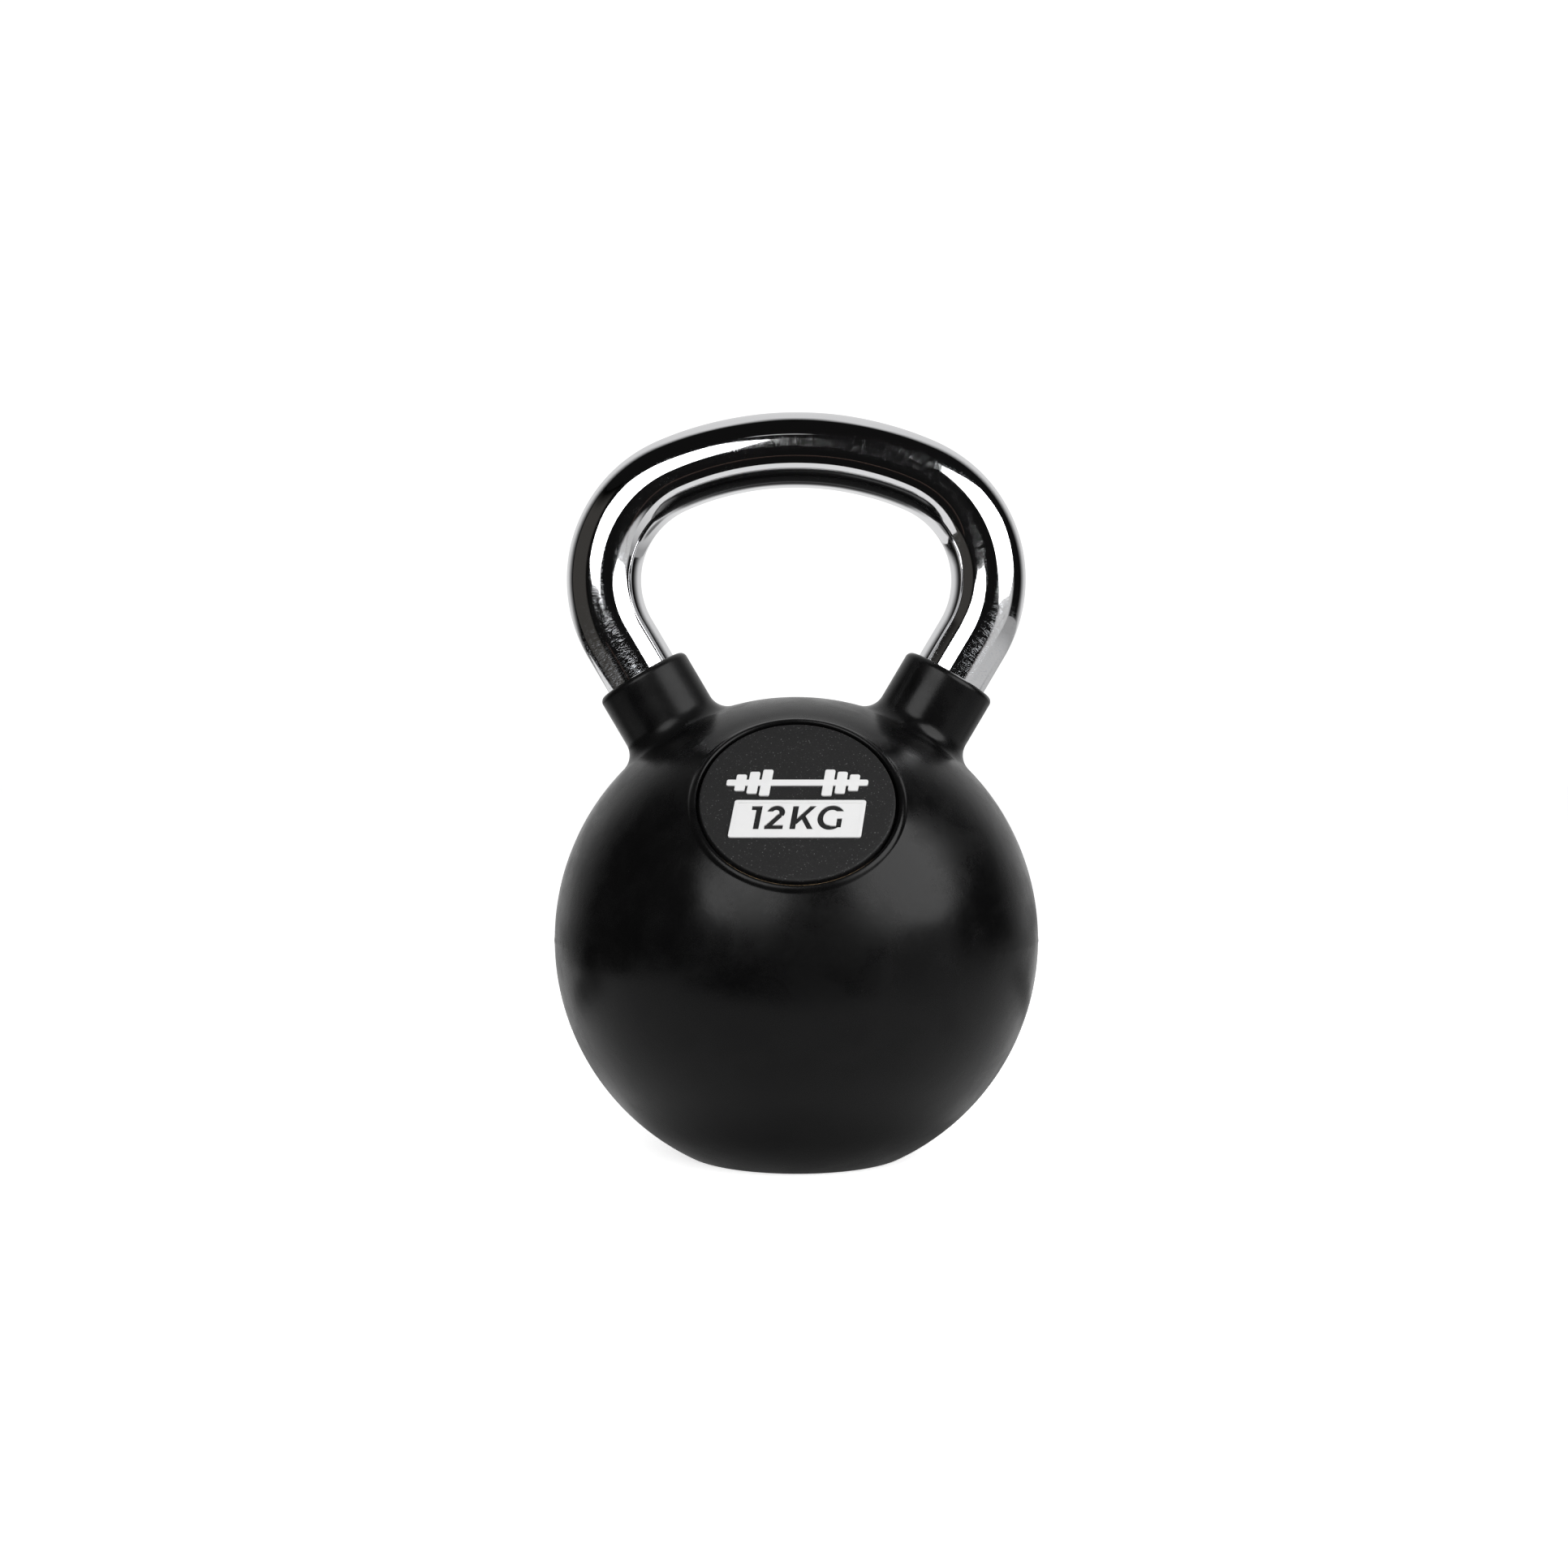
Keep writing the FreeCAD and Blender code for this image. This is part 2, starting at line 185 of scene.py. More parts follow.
def lip_point(spoke, step):
    """A point on the lip or the ball round it, a step in millimetres out from the pocket's wall."""
    inner_round = 0.45
    share = step / (LIP_REACH - POCKET_R)
    # from a circle round the pocket's axis to one round the ball's own
    place = spoke * (POCKET_R + step) - BADGE_TOP * BADGE_RISE * share
    if share >= 1:
        return place + BADGE_AXIS * math.sqrt(BALL_R ** 2 - LIP_REACH ** 2)
    across, up = place[0], float(place @ BADGE_TOP)
    # the lip runs out into the ball more softly along its upper side
    top = 0.5 + 0.5 * up / POCKET_R
    blend = (0.35 + 1.1 * top) * min(1.0, (1 - share) * 3) * min(1.0, step / 0.8)
    soft = max(0.0, inner_round - step) / inner_round
    drop = inner_round * (1 - math.sqrt(max(1 - soft ** 2, 0)))
    return place + BADGE_AXIS * (lip_height(across, up, max(blend, 1e-3)) - drop)


def add_lip(sheet, count=240):
    """The pocket, its rounded lip and the ball round it, out to a ring that lies on the ball."""
    origin = CENTRE + BADGE_TOP * BADGE_RISE
    rings = [sheet.turned(BADGE_AXIS, pocket_profile(), count, origin)]
    u, v = basis(BADGE_AXIS)
    steps = [0, 0.06, 0.14, 0.25, 0.38, 0.55, 0.75, 1.0, 1.25, 1.5, 1.7, 1.9, 2.1, 2.3, 2.5, 2.75, 3.0,
             3.3, 3.7, 4.2, 4.8, 5.6, LIP_REACH - POCKET_R]
    for step in steps:
        rings.append(list(range(len(sheet.points), len(sheet.points) + count)))
        for k in range(count):
            a = 2 * math.pi * k / count
            sheet.points.append(origin + lip_point(math.cos(a) * u + math.sin(a) * v, step))
    return sheet.joined(rings, count)


def base_profile():
    """From the middle of the flat base, round its edge and up onto the ball."""
    edge_y = BALL_Z - BASE_ROUND
    edge_x = math.sqrt((BALL_R - BASE_ROUND) ** 2 - edge_y ** 2)
    turn = math.degrees(math.atan2(edge_y, edge_x))
    profile = [(0.0, BALL_Z)] + line((edge_x / 8, BALL_Z), (edge_x, BALL_Z), 10)
    return profile + arc((edge_x, edge_y), BASE_ROUND, 90, turn, 14)


def open_ball(holes):
    """Directions spread evenly over the ball, with rows along its parting line, clear of the holes."""
    amount = 34000
    golden = math.pi * (3 - math.sqrt(5))
    k = np.arange(amount)
    z = 1 - (2 * k + 1) / amount
    across = np.sqrt(1 - z * z)
    normals = np.stack([np.cos(golden * k) * across, np.sin(golden * k) * across, z], 1)
    normals = normals[np.abs(normals[:, 2]) > 0.024]
    rows = []
    for height in (-0.019, -0.0125, -0.0075, -0.004, -0.0013, 0.0013, 0.004, 0.0075, 0.0125, 0.019):
        a = np.arange(540) / 540 * 2 * math.pi + height * 7
        across = math.sqrt(1 - height ** 2)
        rows.append(np.stack([np.cos(a) * across, np.sin(a) * across, a * 0 + height], 1))
    normals = np.concatenate([normals] + rows)
    gap = 0.5 * math.sqrt(4 * math.pi / amount)
    for axis, reach in holes:
        normals = normals[np.arccos(np.clip(normals @ axis, -1, 1)) > reach + gap]
    return normals


def fill_ball(sheet, borders, holes):
    """The ball between the patches: the convex hull of its points is their best triangulation."""
    normals = open_ball(holes)
    rims = [(sheet.points[i] - CENTRE) / np.linalg.norm(sheet.points[i] - CENTRE) for i in borders]
    directions = rims + list(normals)
    ids = borders + list(range(len(sheet.points), len(sheet.points) + len(normals)))
    sheet.points += [CENTRE + n * BALL_R for n in normals]
    bm = bmesh.new()
    verts = [bm.verts.new(tuple(n)) for n in directions]
    bmesh.ops.convex_hull(bm, input=verts)
    index = {v: i for i, v in enumerate(verts) if v.is_valid}
    for f in bm.faces:
        corners = [index[v] for v in f.verts]
        a, b, c = (directions[i] for i in corners)
        middle = (a + b + c) / np.linalg.norm(a + b + c)
        across_hole = all(i < len(borders) for i in corners) and any(
            math.acos(max(-1, min(1, float(middle @ axis)))) < reach for axis, reach in holes)
        if not across_hole:
            sheet.faces.append(tuple(ids[i] for i in corners))
    bm.free()


def raise_parting_line(sheet):
    """The moulding's parting line stands proud by a hair, unevenly, and mostly at the two sides."""
    proud, half_width, side_reach = 0.20, 0.42, 0.42
    points = np.array(sheet.points)
    away = points - CENTRE
    reach = np.linalg.norm(away, axis=1)
    turn = np.arctan2(away[:, 1], away[:, 0])
    from_side = np.minimum(np.abs(turn), np.pi - np.abs(turn))
    uneven = 0.6 + 0.25 * np.sin(turn * 11 + 2) + 0.15 * np.sin(turn * 29)
    uneven *= 0.03 + 0.97 * np.exp(-(from_side / side_reach) ** 2)
    ridge = np.exp(-(away[:, 2] / half_width) ** 2) * np.clip(uneven, 0.0, 1.2) * proud
    ridge = np.where(np.abs(reach - BALL_R) < 0.02, ridge, 0)
    sheet.points = points + away / reach[:, None] * ridge[:, None]


def build_cover():
    sheet = Sheet()
    borders = list(add_lip(sheet))
    holes = [(BADGE_AXIS, math.asin(LIP_REACH / BALL_R))]
    for axis, profile, count in ((LEGS[-1], collar_profile(), 144), (LEGS[1], collar_profile(), 144),
                                 (np.array([0.0, 0.0, -1.0]), base_profile(), 180)):
        borders += sheet.turned(axis, profile, count)
        radius, height = profile[-1]
        holes.append((axis, math.atan2(radius, height)))
    fill_ball(sheet, borders, holes)
    raise_parting_line(sheet)
    return sheet.made("rubber_cover_skin")


# ---------------------------------------------------------------- handle

def bend(centre, radius, start, end, steps):
    """Points and directions on an arc of the bar; angles from straight up towards +X."""
    return [(centre + radius * np.array([math.sin(a), 0, math.cos(a)]),
             np.array([math.cos(a), 0, -math.sin(a)]))
            for a in np.linspace(start, end, steps, endpoint=False)]


def handle_path():
    """Points and directions along the bar's axis, from inside the left collar to the right one."""
    half = math.asin(((APEX - TOP_R) * math.sin(LEAN) - SHOULDER_R) / (TOP_R - SHOULDER_R))
    top_turn = LEAN + half
    leg_turn = math.pi / 2 + LEAN
    top = CENTRE + np.array([0, 0, APEX - TOP_R])
    shoulder = top + (TOP_R - SHOULDER_R) * np.array([math.sin(top_turn), 0, math.cos(top_turn)])
    right = bend(top, TOP_R, 0, top_turn, 60) + bend(shoulder, SHOULDER_R, top_turn, leg_turn, 110)
    start = shoulder + SHOULDER_R * np.array([math.sin(leg_turn), 0, math.cos(leg_turn)])
    end = CENTRE + LEGS[1] * (RIM - 8)
    for t in np.linspace(0, 1, 50):
        right.append((start + (end - start) * t, -LEGS[1]))
    left = [(p * [-1, 1, 1], d * [1, 1, -1]) for p, d in right[:0:-1]]
    return left + right


def unwrap_bar(mesh, along, count):
    """Texture coordinates in metres, along the bar and round it."""
    layer = mesh.uv_layers.new(name="bar")
    for face in mesh.polygons:
        ks = [i % count for i in face.vertices]
        wraps = max(ks) - min(ks) > count / 2
        for corner in face.loop_indices:
            i, k = divmod(mesh.loops[corner].vertex_index, count)
            if wraps and k < count / 2:
                k += count
            layer.data[corner].uv = (along[i] * MM, k / count * 2 * math.pi * BAR_R * MM)


def build_handle():
    sheet = Sheet()
    count = 128
    front = np.array([0, 1, 0])
    rings, along = [], []
    length, before = 0.0, None
    for p, d in handle_path():
        if before is not None:
            length += np.linalg.norm(p - before)
        before = p
        out = np.array([-d[2], 0, d[0]])
        rings.append(list(range(len(sheet.points), len(sheet.points) + count)))
        along.append(length)
        for k in range(count):
            a = 2 * math.pi * k / count
            # hand-polished after bending: never quite even
            wave = 0.02 * math.sin(length * 0.11 + 2 * a) + 0.012 * math.sin(length * 0.29 - a)
            sheet.points.append(p + (BAR_R - 0.03 + wave) * (math.cos(a) * out + math.sin(a) * front))
    sheet.joined(rings, count)
    sheet.faces += [tuple(rings[0][::-1]), tuple(rings[-1])]
    bar = sheet.made("chromed_handle")
    unwrap_bar(bar.data, along, count)
    return bar


# ---------------------------------------------------------------- badge disc

def build_disc():
    sheet = Sheet()
    back = FACE - THICK
    profile = [(0.0, FACE)] + line((1.5, FACE), (BADGE_R - EDGE, FACE), 18)
    profile += arc((BADGE_R - EDGE, FACE - EDGE), EDGE, 90, 0, 8)
    profile += line((BADGE_R, FACE - EDGE), (BADGE_R, back), 5)
    profile += line((BADGE_R, back), (1.0, back), 6) + [(0.0, back)]
    sheet.turned(BADGE_AXIS, profile, 240, CENTRE + BADGE_TOP * BADGE_RISE)
    return sheet.made("badge_face")


# ---------------------------------------------------------------- materials

class Nodes:
    """A short way to write a node tree."""

    def __init__(self, name):
        self.material = bpy.data.materials.new(name)
        self.material.use_nodes = True
        self.tree = self.material.node_tree
        self.shader = self.tree.nodes["Principled BSDF"]
        self.coords = self.add("ShaderNodeTexCoord")

    def add(self, kind, inputs=None, **settings):
        node = self.tree.nodes.new(kind)
        for key, value in settings.items():
            setattr(node, key, value)
        for key, value in (inputs or {}).items():
            self.put(node.inputs[key], value)
        return node

    def put(self, socket, value):
        if hasattr(value, "is_output"):
            self.tree.links.new(value, socket)
        else:
            socket.default_value = value

    def set(self, **inputs):
        for key, value in inputs.items():
            self.put(self.shader.inputs[key.replace("_", " ")], value)

    def at(self, scale, move):
        """Coordinates in metres, scaled and then moved."""
        return self.add("ShaderNodeMapping", {"Vector": self.coords.outputs["Object"], "Scale": scale,
                                              "Location": move}).outputs[0]

    def vector(self, operation, a, b=None, out=0, **inputs):
        """A vector operation on one or two vectors."""
        values = {0: a, **inputs}
        if b is not None:
            values[1] = b
        return self.add("ShaderNodeVectorMath", values, operation=operation).outputs[out]

    def noise(self, scale, detail=3, rough=0.55, vector=None, distort=0.0, out="Fac"):
        return self.add("ShaderNodeTexNoise", {
            "Vector": vector or self.coords.outputs["Object"], "Scale": scale, "Detail": detail,
            "Roughness": rough, "Distortion": distort}).outputs[out]

    def voronoi(self, scale, feature="F1"):
        inputs = {"Vector": self.coords.outputs["Object"], "Scale": scale}
        return self.add("ShaderNodeTexVoronoi", inputs, feature=feature).outputs["Distance"]

    def span(self, value, a, b, c, d, smooth=False):
        """The value carried from the span a to b onto the span c to d."""
        return self.add("ShaderNodeMapRange", {
            "Value": value, "From Min": a, "From Max": b, "To Min": c, "To Max": d},
            interpolation_type="SMOOTHSTEP" if smooth else "LINEAR").outputs["Result"]

    def math(self, operation, a, b=0.0):
        node = self.add("ShaderNodeMath", operation=operation)
        self.put(node.inputs[0], a)
        self.put(node.inputs[1], b)
        return node.outputs[0]

    def mix(self, factor, a, b):
        node = self.add("ShaderNodeMix", data_type="RGBA")
        self.put(node.inputs[0], factor)
        self.put(node.inputs[6], a)
        self.put(node.inputs[7], b)
        return node.outputs[2]

    def bump(self, height, strength, distance, normal=None):
        inputs = {"Height": height, "Strength": strength, "Distance": distance}
        if normal:
            inputs["Normal"] = normal
        return self.add("ShaderNodeBump", inputs).outputs[0]


def warm_edge_highlight(n):
    """A thin warm line painted on the lip's inner edge, along the lower side of the pocket: a painted
    highlight.
    """
    origin = (CENTRE + BADGE_TOP * BADGE_RISE) * MM
    place = n.vector("SUBTRACT", n.coords.outputs["Object"], tuple(origin))
    radius = n.vector("LENGTH", n.vector("CROSS_PRODUCT", place, tuple(BADGE_AXIS)), out="Value")
    up = n.vector("DOT_PRODUCT", place, tuple(BADGE_TOP), out="Value")
    near = n.math("ABSOLUTE", n.math("SUBTRACT", radius, (POCKET_R + 0.22) * MM))
    band = n.span(near, 0.00006, 0.00020, 1.0, 0.0)
    low = n.span(up, -0.020, -0.026, 0.0, 1.0)
    broken = n.span(n.noise(700, 2), 0.35, 0.6, 0.25, 1.0)
    return n.math("MULTIPLY", n.math("MULTIPLY", band, low), broken)


def rubber_material():
    """Black rubber with a patchy sheen, pits, specks of dust and a fine moulded grain."""
    n = Nodes("moulded_rubber")
    large = n.noise(22, 3, 0.6)
    patch = n.noise(70, 5, 0.62, distort=0.4)
    fine = n.noise(900, 3, 0.6)
    grain = n.noise(2600, 2, 0.5)
    sweat = n.span(n.math("ADD", n.math("MULTIPLY", large, 0.6), n.math("MULTIPLY", patch, 0.4)),
                   0.40, 0.62, 0.0, 1.0, smooth=True)
    specks = n.span(n.voronoi(420), 0.0, 0.055, 1.0, 0.0)
    dust = n.math("MULTIPLY", specks, n.span(n.noise(160, 2), 0.55, 0.68, 0.0, 1.0))
    base = n.mix(sweat, (0.0022, 0.0022, 0.0023, 1), (0.0042, 0.0042, 0.0043, 1))
    base = n.mix(n.math("MULTIPLY", dust, 0.35), base, (0.09, 0.09, 0.09, 1))
    # painted highlight: a thin warm line on the lip's lower inner edge, in the base colour
    n.set(Base_Color=n.mix(warm_edge_highlight(n), base, (0.16, 0.11, 0.06, 1)))
    n.set(Roughness=n.math("ADD", n.span(sweat, 0, 1, 0.20, 0.33),
                           n.math("MULTIPLY", n.math("SUBTRACT", fine, 0.5), 0.12)))
    n.set(IOR=1.5, Specular_IOR_Level=0.14)
    pits = n.span(n.voronoi(260), 0.0, 0.10, -1.0, 0.0)
    pits = n.math("MULTIPLY", pits, n.span(n.noise(90, 2), 0.6, 0.7, 0.0, 1.0))
    normal = n.bump(large, 0.25, 0.0010)
    normal = n.bump(patch, 0.22, 0.00035, normal)
    normal = n.bump(pits, 0.35, 0.00012, normal)
    normal = n.bump(n.math("ADD", n.math("MULTIPLY", fine, 0.7), n.math("MULTIPLY", grain, 0.3)),
                    0.22, 0.00006, normal)
    n.set(Normal=normal)
    return n.material


def chrome_material():
    """Mirror plating with polishing hairs round the bar, which draw each highlight out along it."""
    n = Nodes("polished_chrome")
    n.set(Metallic=1.0, Anisotropic=1.0)
    n.put(n.shader.inputs["Tangent"], n.add("ShaderNodeTangent", direction_type="UV_MAP",
                                            uv_map="bar").outputs[0])
    sway = n.vector("SCALE", n.noise(70, 1, 0.4, out="Color"), Scale=0.002)
    curved = n.vector("ADD", n.coords.outputs["UV"], sway)

    def lines(slant, along, around, low, high):
        """Slanted lines across the bar, with their counts in a metre along the bar and round it."""
        turned = n.add("ShaderNodeMapping", {"Vector": curved, "Rotation": (0, 0, slant)}).outputs[0]
        vector = n.add("ShaderNodeMapping", {"Vector": turned, "Scale": (along, around, 1),
                                             "Location": (slant * 9, 2.3, 0)}).outputs[0]
        return n.span(n.noise(1.0, 1, 0.4, vector=vector), low, high, 0.0, 1.0)

    fine = n.math("MAXIMUM", lines(0.12, 15000, 400, 0.60, 0.67),
                  lines(-0.22, 12000, 500, 0.62, 0.69))
    broad = n.math("MAXIMUM", lines(0.12, 2600, 90, 0.42, 0.66),
                   lines(-0.30, 2000, 120, 0.46, 0.70))
    height = n.add("ShaderNodeSeparateXYZ", {0: n.coords.outputs["Object"]}).outputs[2]
    worn = n.math("MULTIPLY", n.span(n.noise(45, 2, 0.5), 0.35, 0.65, 0.6, 1.0, smooth=True),
                  n.span(height, 0.150, 0.185, 1.0, 0.4, smooth=True))
    hairs = n.math("MULTIPLY", n.math("MULTIPLY", fine, worn), n.span(broad, 0.0, 1.0, 0.35, 1.0))
    n.set(Base_Color=n.mix(hairs, (0.79, 0.79, 0.80, 1), (0.70, 0.74, 0.80, 1)))
    n.set(Roughness=n.math("ADD", n.span(n.noise(40, 3, 0.6), 0.3, 0.7, 0.02, 0.04),
                           n.math("MULTIPLY", hairs, 0.33)))
    n.set(Normal=n.bump(n.noise(14, 2, 0.5), 0.12, 0.0010))
    return n.material


def badge_material():
    """Matt black plastic with a spark-eroded grain; a few of its grains are painted light grey, as
    painted glints.
    """
    n = Nodes("grained_black_plastic")
    grain = n.voronoi(3400, "SMOOTH_F1")
    coarse = n.noise(1500, 3, 0.6)
    cloud = n.noise(120, 3, 0.6)
    painted_glint_spots = n.span(n.voronoi(1500), 0.0, 0.30, 1.0, 0.0)
    lit = n.math("MULTIPLY", painted_glint_spots, n.span(n.noise(2000, 1), 0.5, 0.62, 0.0, 1.0))
    base = n.mix(cloud, (0.0055, 0.0055, 0.0057, 1), (0.0080, 0.0080, 0.0083, 1))
    # painted glints: scattered grains made light grey in the base colour
    base = n.mix(n.math("MULTIPLY", lit, 0.8), base, (0.16, 0.16, 0.16, 1))
    n.set(Base_Color=base, IOR=1.48, Specular_IOR_Level=0.3)
    n.set(Roughness=n.span(coarse, 0.3, 0.7, 0.52, 0.66))
    normal = n.bump(grain, 0.55, 0.00010)
    normal = n.bump(coarse, 0.4, 0.00008, normal)
    n.set(Normal=normal)
    return n.material


def white_material():
    """Off-white plastic, slightly cloudy."""
    n = Nodes("white_badge_plastic")
    cloud = n.noise(260, 4, 0.6)
    n.set(Base_Color=n.mix(cloud, (0.55, 0.55, 0.55, 1), (0.59, 0.59, 0.59, 1)))
    n.set(Roughness=n.span(cloud, 0.3, 0.7, 0.38, 0.5), IOR=1.48)
    n.set(Normal=n.bump(n.noise(3000, 2, 0.5), 0.15, 0.00004))
    return n.material


def plain_material(name, dark, light, metallic, low, high, scale, bump):
    """Cast, welded and glued surfaces: mottled colour and roughness with a lumpy bump."""
    n = Nodes(name)
    mottle = n.noise(scale, 5, 0.65)
    lumps = n.noise(scale * 4, 3, 0.6)
    n.set(Base_Color=n.mix(mottle, (*dark, 1), (*light, 1)), Metallic=metallic)
    n.set(Roughness=n.span(lumps, 0.3, 0.7, low, high))
    n.set(Normal=n.bump(lumps, 0.6, bump))
    return n.material


def assign(obj, material):
    obj.data.materials.clear()
    obj.data.materials.append(material)


def paint_cad(node, material):
    """Give a carried-over CAD node its material, on the object and not on its mesh."""
    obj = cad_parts[node]
    if not obj.data.materials:
        obj.data.materials.append(material)
    for slot in obj.material_slots:
        slot.link = "OBJECT"
        slot.material = material


# ---------------------------------------------------------------- pieces

cover = build_cover()
assign(cover, rubber_material())
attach(cover, "root")
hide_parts("rubber_cover")

handle = build_handle()
assign(handle, chrome_material())
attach(handle, "root")
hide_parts("handle_bar")

disc = build_disc()
assign(disc, badge_material())
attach(disc, "root")
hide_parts("badge_disc")

white = white_material()
paint_cad("weight_plate", white)
paint_cad("barbell_emblem", white)
paint_cad("badge_adhesive", plain_material(
    "cured_adhesive", (0.05, 0.03, 0.018), (0.16, 0.11, 0.07), 0.0, 0.3, 0.6, 500, 0.0001))
paint_cad("iron_core", plain_material(
    "cast_iron", (0.09, 0.09, 0.095), (0.17, 0.165, 0.16), 1.0, 0.5, 0.75, 180, 0.0004))
weld = plain_material(
    "weld_bead", (0.16, 0.14, 0.13), (0.34, 0.32, 0.30), 1.0, 0.35, 0.6, 400, 0.0004)
paint_cad("left_handle_weld", weld)
paint_cad("right_handle_weld", weld)


# ---------------------------------------------------------------- studio
# The rig is a small white table in a dark room: two softboxes in front, a white sweep behind. The
# panels are seen only in reflections and as light, never by the camera. Studio sizes are in metres.

AIM = (0, 0, 0.1)
TABLE_Z = -0.001


def toward(azimuth, elevation, distance):
    """A point seen from the object: azimuth 0 is the camera's side and 90 the right."""
    a, e = math.radians(azimuth), math.radians(elevation)
    return (distance * math.sin(a) * math.cos(e), -distance * math.cos(a) * math.cos(e),
            AIM[2] + distance * math.sin(e))


def glow(name, strength, edge=(0.0, 0.0), size=(1.0, 1.0), colour=(1, 1, 1), source="Object",
         share=None):
    """Emission that fades towards the panel's edges: edge is the faded share of each half side.

    share, where it is given, makes one more factor from the node helper and the panel's place."""
    n = Nodes(name)
    n.tree.nodes.remove(n.shader)
    light = n.add("ShaderNodeEmission", {"Color": (*colour, 1)})
    n.tree.links.new(light.outputs[0], n.tree.nodes["Material Output"].inputs[0])
    split = n.add("ShaderNodeSeparateXYZ", {0: n.coords.outputs[source]})
    value = share(n, split) if share else None
    for axis in (0, 1):
        if edge[axis] > 0:
            half = size[axis] / 2
            away = n.math("ABSOLUTE", split.outputs[axis])
            fade = n.span(away, half * (1 - edge[axis]), half, 1.0, 0.0, smooth=True)
            value = fade if value is None else n.math("MULTIPLY", value, fade)
    n.put(light.inputs["Strength"], n.math("MULTIPLY", value, strength) if value else strength)
    return n.material


def staged(name, mesh, material, camera=False, glossy=True, diffuse=False, shadow=False):
    """A stage object and the kinds of ray that meet it."""
    mesh.materials.append(material)
    obj = bpy.data.objects.new(name, mesh)
    bpy.context.scene.collection.objects.link(obj)
    obj.visible_camera, obj.visible_glossy = camera, glossy
    obj.visible_diffuse, obj.visible_shadow = diffuse, shadow
    return obj


def flat(name, outline):
    """A mesh of one face, from its outline in the plane."""
    mesh = bpy.data.meshes.new(name)
    mesh.from_pydata([(x, y, 0) for x, y in outline], [], [tuple(range(len(outline)))])
    return mesh


def oblong(width, depth, corner=0.0):
    """A rectangle's outline; corner is the share of each half side that is cut off."""
    x, y = width / 2, depth / 2
    cut_x, cut_y = x * (1 - corner), y * (1 - corner)
    if not corner:
        return [(-x, -y), (x, -y), (x, y), (-x, y)]
    return [(-cut_x, -y), (cut_x, -y), (x, -cut_y), (x, cut_y),
            (cut_x, y), (-cut_x, y), (-x, cut_y), (-x, -cut_y)]


def stand(obj, centre, target):
    """Stand a panel at a place, square to the line to its target."""
    obj.location = centre
    obj.rotation_euler = (Vector(target) - Vector(centre)).to_track_quat("Z", "Y").to_euler()


def floor_white():
    """The white floor that the camera sees, with a little light of its own."""
    n = Nodes("studio_white")
    n.set(Base_Color=(0.9, 0.9, 0.9, 1), Roughness=0.9)
    n.set(Emission_Color=(1, 1, 1, 1), Emission_Strength=0.72)
    return n.material


def backdrop():
    """A white shell round everything, for the camera only."""
    bm = bmesh.new()
    bmesh.ops.create_icosphere(bm, subdivisions=4, radius=6.5)
    mesh = bpy.data.meshes.new("studio_backdrop")
    bm.to_mesh(mesh)
    bm.free()
    staged("studio_backdrop", mesh, glow("backdrop_glow", 1.1), camera=True, glossy=False)


def table_light(n, split):
    """The lit table top, as a glow with painted light and shade: dimmer to the right, and with painted
    shadows where the object's own shadows fall.

    Each shadow has its middle, its squeeze along X and Y, where it starts and stops fading out, and
    the share of light left at its middle. They lie behind, underneath, to the left and to the right."""
    # painted fall-off: the glow dims towards the right
    value = n.span(split.outputs[0], 0.10, 0.60, 1.0, 0.42)
    # painted shadows: each patch lowers the table's glow where a shadow of the object falls
    for middle, squeeze, near, far, left in (((0, 0.14), (1, 0.8), 0.03, 0.165, 0.04),
                                             ((0, 0), (1, 1), 0.046, 0.078, 0.30),
                                             ((-0.27, 0.07), (0.75, 1), 0.03, 0.10, 0.25),
                                             ((0.25, 0.18), (0.6, 1), 0.03, 0.10, 0.25)):
        place = n.at((*squeeze, 1), (-middle[0] * squeeze[0], -middle[1] * squeeze[1], 0))
        reach = n.vector("LENGTH", place, out="Value")
        value = n.math("MULTIPLY", value, n.span(reach, near, far, left, 1.0, smooth=True))
    return value


def table():
    """The table top as the chrome and the rubber reflect it, and the two thin edges in front of it."""
    outline = [(-0.35, -0.20), (1.0, -0.225), (1.0, 1.8), (-0.50, 1.8), (-0.43, 0.35), (-0.345, 0.10)]
    # the table's glow carries painted shadows and a painted fall-off to the right
    top = staged("table_reflection", flat("table_reflection", outline),
                 glow("table_glow", 0.85, share=table_light))
    top.location.z = TABLE_Z
    for name, y, depth, strength in (("table_edge_0_46", -0.455, 0.005, 0.10),
                                     ("table_edge_0_50", -0.50, 0.012, 0.16)):
        edge = staged(name, flat(name, oblong(1.5, depth)),
                      glow("table_edge_glow", strength, colour=(1.0, 0.66, 0.55)))
        edge.location = (0.3, y, TABLE_Z)


def dome(name, azimuths, elevations, strength, edge, colour=(1, 1, 1), radius=2.2):
    """A patch of the room's far wall, seen in reflections only."""
    steps = 24
    width, height = azimuths[1] - azimuths[0], elevations[1] - elevations[0]
    points, uvs, faces = [], [], []
    for i in range(steps + 1):
        for j in range(steps + 1):
            u, v = i / steps, j / steps
            points.append(toward(azimuths[0] + u * width, elevations[0] + v * height, radius))
            uvs.append(((u - 0.5) * width, (v - 0.5) * height))
    for i in range(steps):
        for j in range(steps):
            k = i * (steps + 1) + j
            faces.append((k, k + 1, k + steps + 2, k + steps + 1))
    mesh = bpy.data.meshes.new(name)
    mesh.from_pydata(points, [], faces)
    layer = mesh.uv_layers.new(name="span")
    for corner in mesh.loops:
        layer.data[corner.index].uv = uvs[corner.vertex_index]
    staged(name, mesh, glow(name + "_glow", strength, edge, (width, height), colour, "UV"))


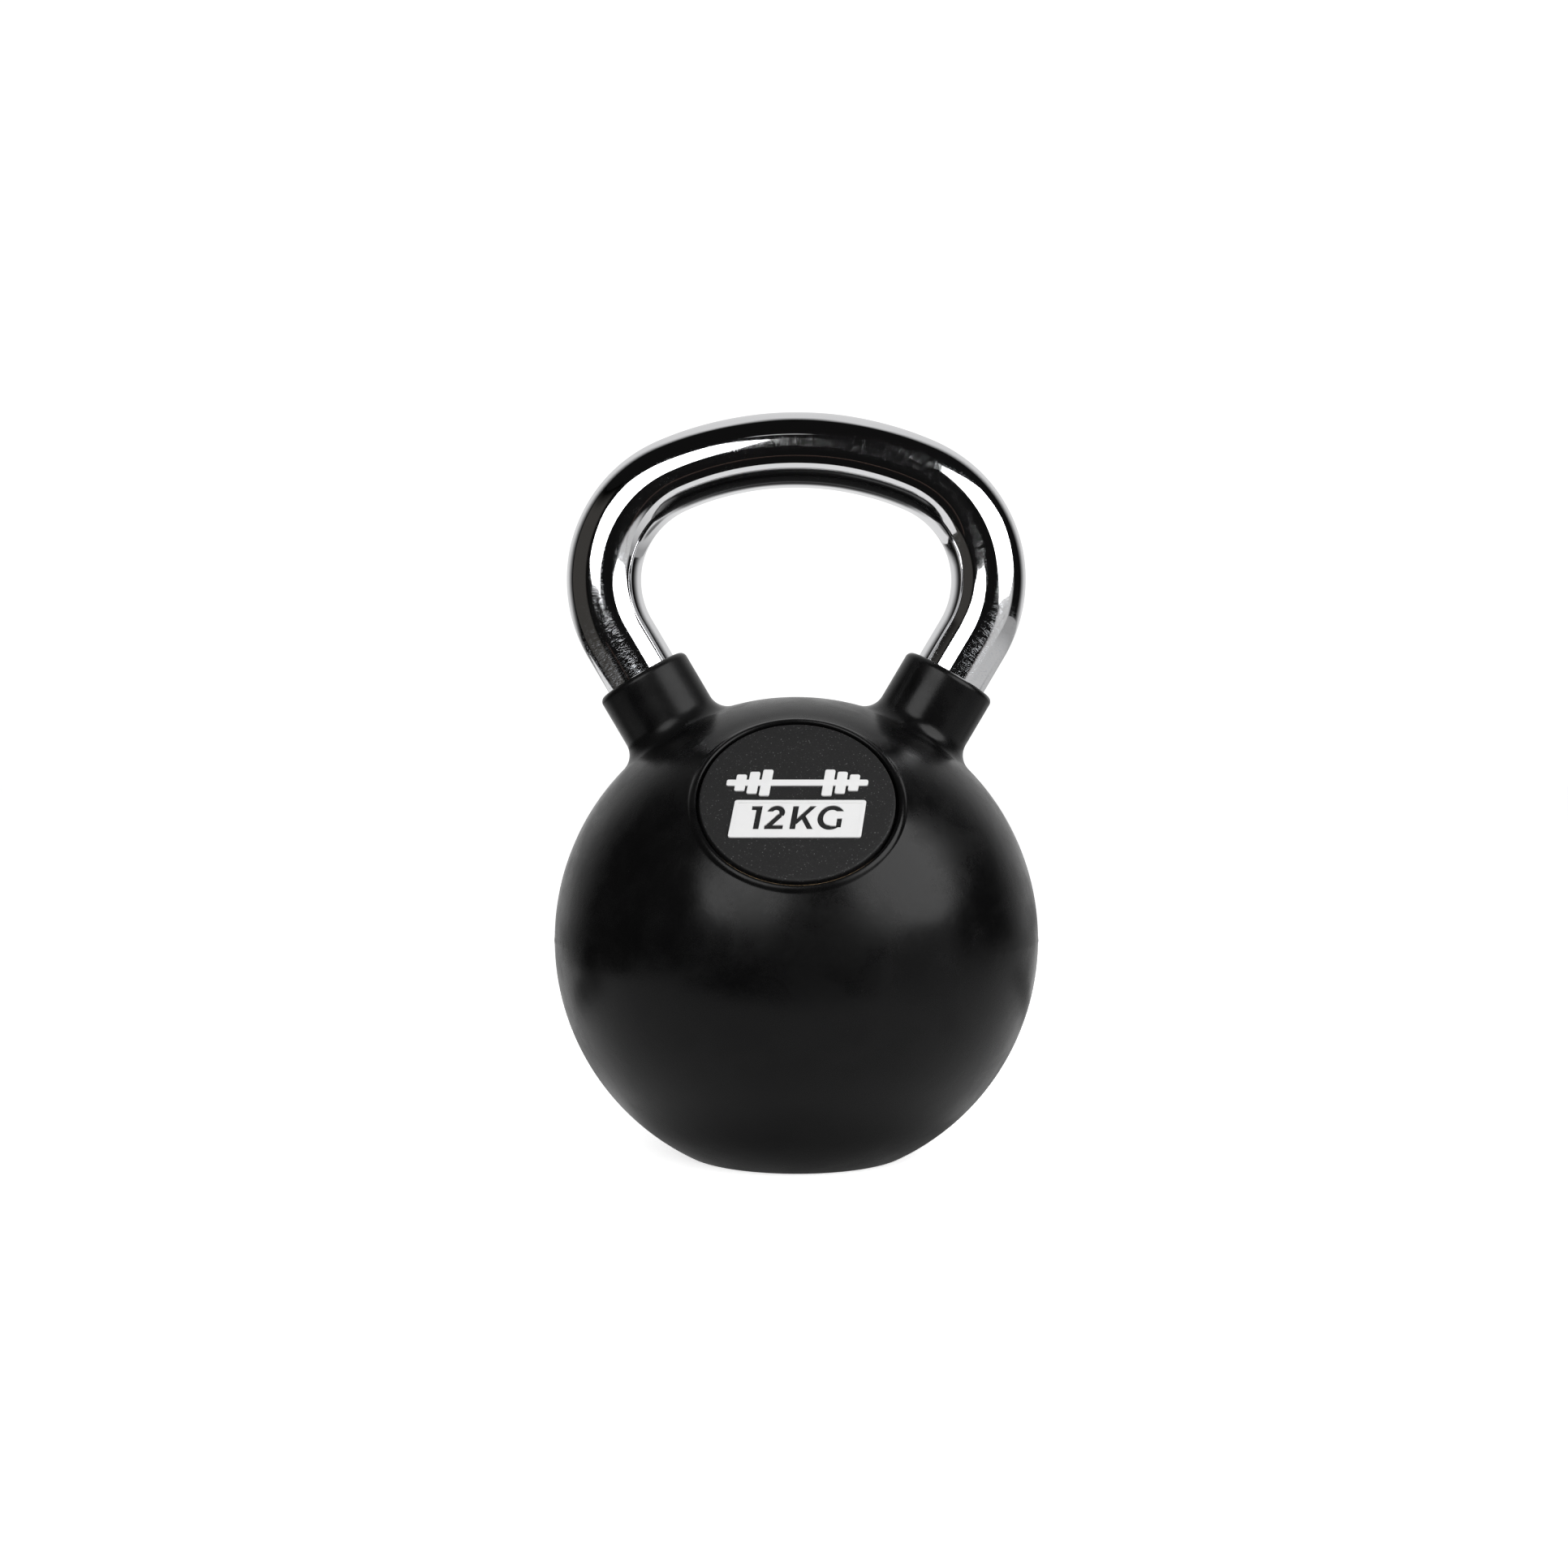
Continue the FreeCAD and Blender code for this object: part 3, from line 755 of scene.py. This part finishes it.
def softbox(name, azimuth, elevation, distance, yaw, size, strength):
    """A softbox with cut corners that lights the object, turned by yaw degrees from facing it."""
    a = math.radians(yaw)
    centre = Vector(toward(azimuth, elevation, distance))
    look = Vector(AIM) - centre
    look = Vector((look.x * math.cos(a) - look.y * math.sin(a),
                   look.x * math.sin(a) + look.y * math.cos(a), look.z))
    panel = staged(name, flat(name, oblong(*size, corner=0.45)), glow(name + "_glow", strength),
                   diffuse=True)
    stand(panel, centre, centre + look)


def small_reflector():
    """The thin pale card above the camera that draws a fine line along the top of the bar."""
    size = (0.14, 0.03)
    card = staged("small_reflector", flat("small_reflector", oblong(*size)),
                  glow("small_glow", 0.7, (0.6, 0.4), size))
    stand(card, (-0.03, -0.60, 0.74), AIM)


staged("studio_floor", flat("studio_floor", oblong(14, 14)), floor_white(), camera=True, glossy=False,
       shadow=True)
backdrop()
table()
dome("sweep_reflection", (106, 254), (-14, 86), 0.76, (0.5, 0.3))
dome("low_glow", (36, 82), (-32, 14), 0.6, (0.4, 0.5))
dome("room_left", (-112, -50), (-40, 42), 0.05, (0.25, 0.25), (1.0, 0.95, 0.88))
dome("room", (-180, 180), (-80, 89), 0.006, (0, 0), radius=2.6)
small_reflector()
softbox("softbox_left", -25.7, 25.5, 0.733, 9.5, (0.52, 0.43), 5.3)
softbox("softbox_right", 54.0, 26.4, 0.606, -5.2, (0.57, 0.465), 5.3)

world = bpy.data.worlds.new("studio")
bpy.context.scene.world = world
world.use_nodes = True
sky = world.node_tree.nodes["Background"]
sky.inputs["Color"].default_value = (1, 1, 1, 1)
sky.inputs["Strength"].default_value = 0.35
world.cycles_visibility.glossy = False

bpy.context.scene.view_settings.view_transform = "Standard"
bpy.context.scene.view_settings.look = "None"


# ---------------------------------------------------------------- camera

camera_data = bpy.data.cameras.new("camera")
camera_data.sensor_width = 36
camera_data.lens = 43.5466
camera = bpy.data.objects.new("camera", camera_data)
bpy.context.scene.collection.objects.link(camera)
camera.location = (-3.85 * MM, -600 * MM, 127.7 * MM)
camera.rotation_euler = (math.radians(90 - 1.10), 0, 0)
bpy.context.scene.camera = camera
